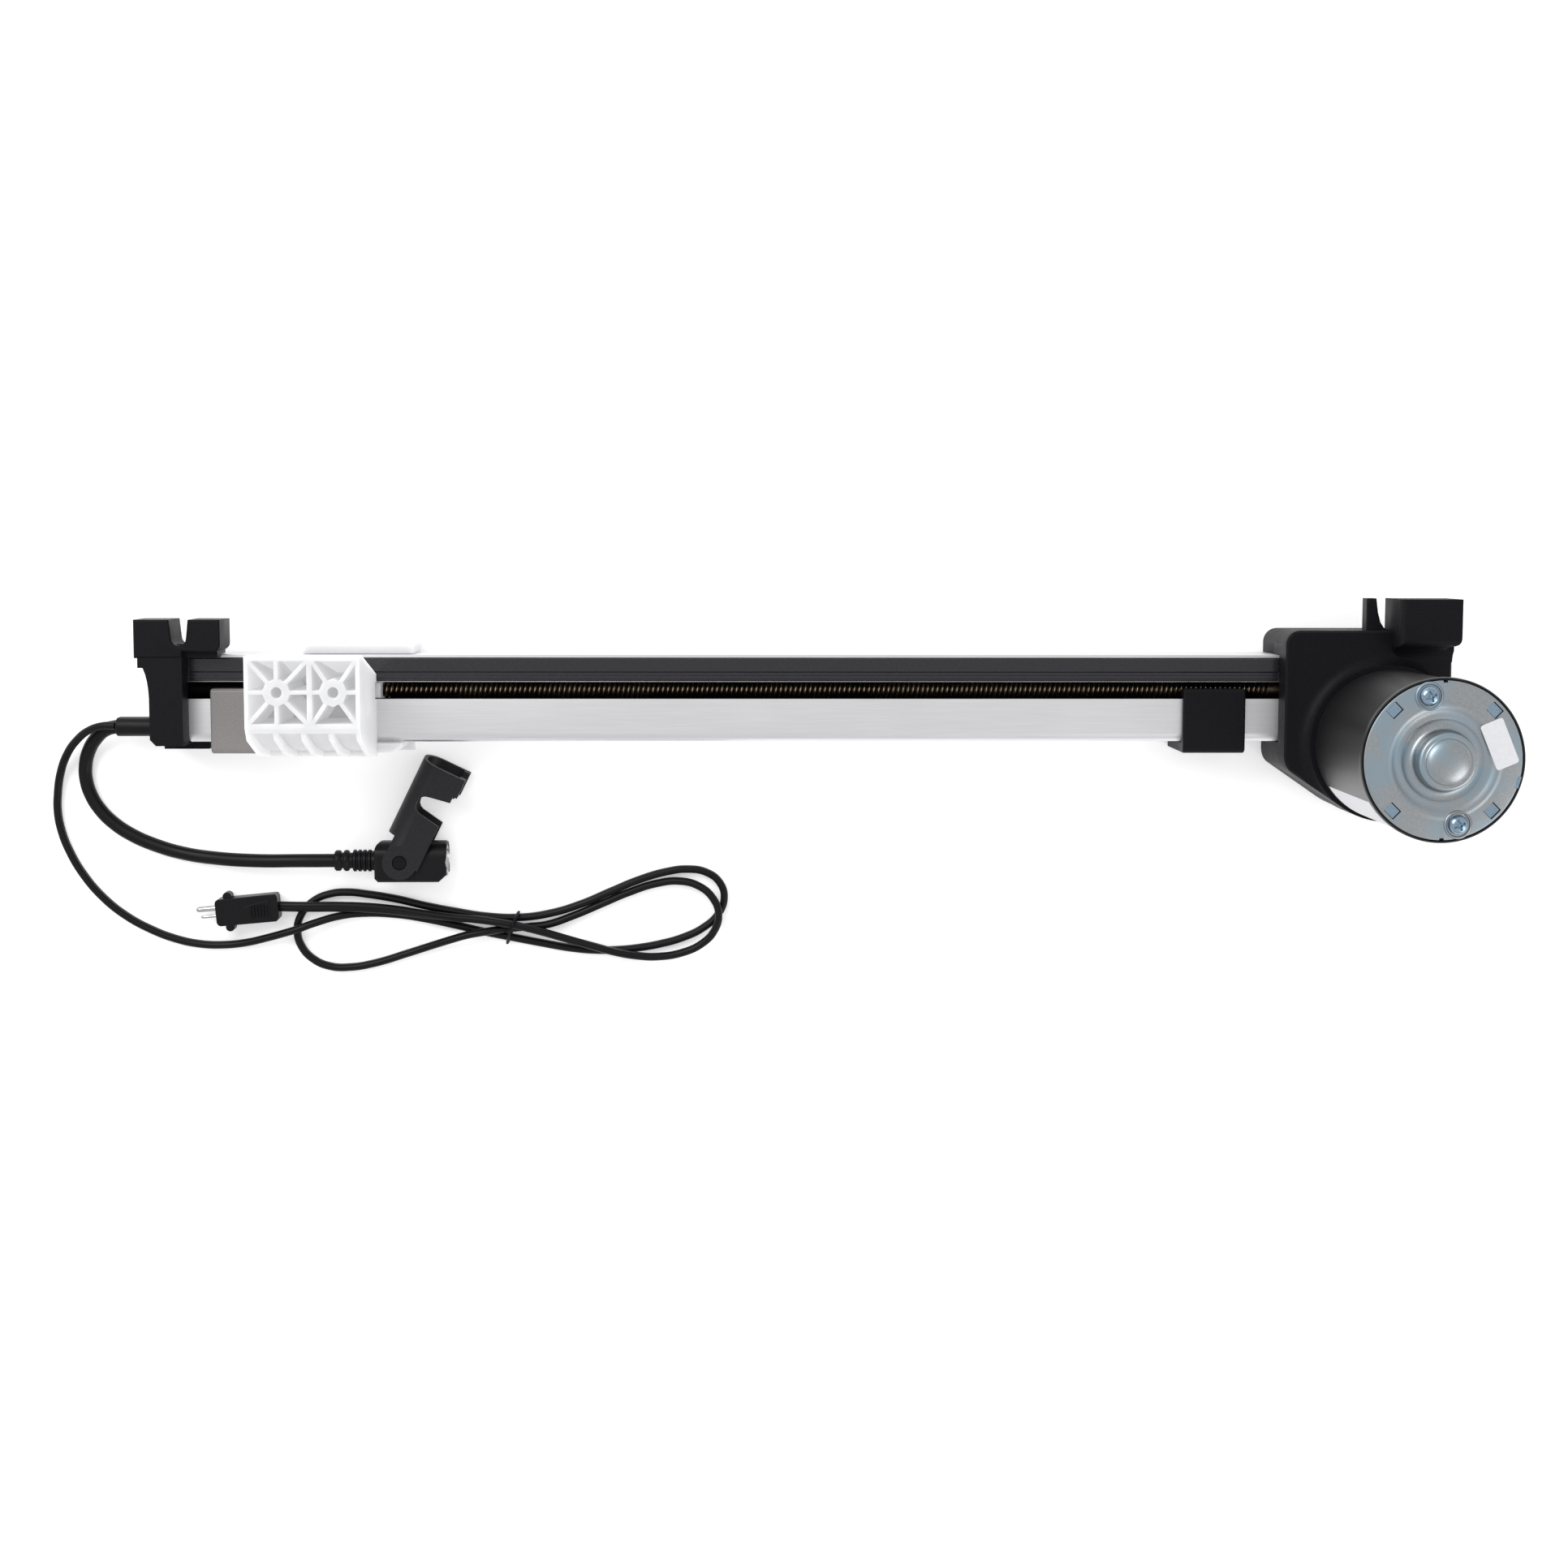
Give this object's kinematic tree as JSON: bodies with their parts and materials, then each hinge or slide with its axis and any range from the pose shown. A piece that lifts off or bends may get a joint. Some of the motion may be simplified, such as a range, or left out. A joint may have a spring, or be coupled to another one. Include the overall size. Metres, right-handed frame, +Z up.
{
  "type": "lead screw linear drive",
  "caption": "Motorised lead-screw linear drive: slotted rail with sliding carriage, fork at each end, worm gearbox with motor, power lead and locking control lead.",
  "frame": {"origin": "on the surface that the drive lies on, under the middle of the drive's box without its leads", "axes": "+X along the rail from the end cap to the motor, +Z up, along the motor from the rail's back to its front, +Y across the rail towards the forks' open ends"},
  "size_m": [0.6124, 0.1677, 0.1414],
  "materials": {
    "aluminium": "satin brushed, anodised",
    "black_gloss": "glossy",
    "black_housing": "fine moulded grain, satin",
    "black_rubber": "satin",
    "black_can": "satin black paint",
    "screw_steel": "machined, greased",
    "bearing_steel": "polished",
    "gear_brass": "machined",
    "white_nylon": "satin, slightly translucent",
    "nut_plastic": "translucent",
    "grey_plastic": "satin",
    "zinc_plate": "bluish zinc plating",
    "iron": "laminated",
    "copper": "enamelled wire",
    "ferrite": "dull"
  },
  "bodies": {
    "frame": {"rail": "aluminium", "wire_channel_cover": "black_gloss", "screw_end_bearing": "bearing_steel", "screw_drive_bearing_1": "bearing_steel", "screw_drive_bearing_2": "bearing_steel", "end_cap": "black_housing", "cable_boot": "black_rubber", "stop_left": "grey_plastic", "stop_right": "black_housing", "gearbox_back_cover": "black_housing", "gearbox_front_cover": "black_housing", "motor_can": "black_can", "motor_end_plate": "zinc_plate", "magnet_1": "ferrite", "magnet_2": "ferrite", "brush_1": "ferrite", "brush_2": "ferrite", "motor_bearing_1": "bearing_steel", "motor_bearing_2": "bearing_steel", "socket_body": "black_rubber", "socket_shell": "bearing_steel", "socket_insert": "black_housing", "strain_relief": "black_rubber", "latch_pin": "black_housing", "control_lead": "black_rubber", "power_lead": "black_rubber", "power_lead_bundle": "black_rubber", "power_lead_tail": "black_rubber", "lead_tie": "black_housing", "plug_body": "black_rubber", "plug_pin_1": "bearing_steel", "plug_pin_2": "bearing_steel", "gearbox_screw_1": "zinc_plate", "gearbox_screw_2": "zinc_plate", "gearbox_screw_3": "zinc_plate", "gearbox_screw_4": "zinc_plate", "gearbox_screw_5": "zinc_plate", "motor_screw_1": "zinc_plate", "motor_screw_2": "zinc_plate"},
    "screw": {"lead_screw": "screw_steel", "worm_wheel": "gear_brass"},
    "carriage": {"carriage": "white_nylon", "drive_nut": "nut_plastic"},
    "rotor": {"motor_shaft": "screw_steel", "worm": "screw_steel", "armature_core": "iron", "armature_winding_1": "copper", "armature_winding_2": "copper", "commutator": "copper"},
    "latch": {"latch_sleeve": "black_housing"}
  },
  "joints": [
    {"name": "rotor_turn", "type": "hinge", "parent": "frame", "child": "rotor", "pos_m": [0.25685, -0.01431, 0.09], "axis": [0, 0, 1], "range_deg": [0, 338400]},
    {"name": "screw_turn", "type": "hinge", "parent": "frame", "child": "screw", "pos_m": [-0.02725, 0.00759, 0.022], "axis": [1, 0, 0], "range_deg": [0, 28210]},
    {"name": "carriage_slide", "type": "slide", "parent": "frame", "child": "carriage", "axis": [1, 0, 0], "range_m": [0, 0.333]},
    {"name": "latch_fold", "type": "hinge", "parent": "frame", "child": "latch", "pos_m": [-0.16865, -0.06871, 0.0099], "axis": [0, 0, 1], "range_deg": [-64, 20]}
  ],
  "couplings": [
    {"joint": "screw_turn", "follows": "rotor_turn", "ratio": 0.083333},
    {"joint": "carriage_slide", "follows": "rotor_turn", "m_per_rad": 0.000056367}
  ]
}
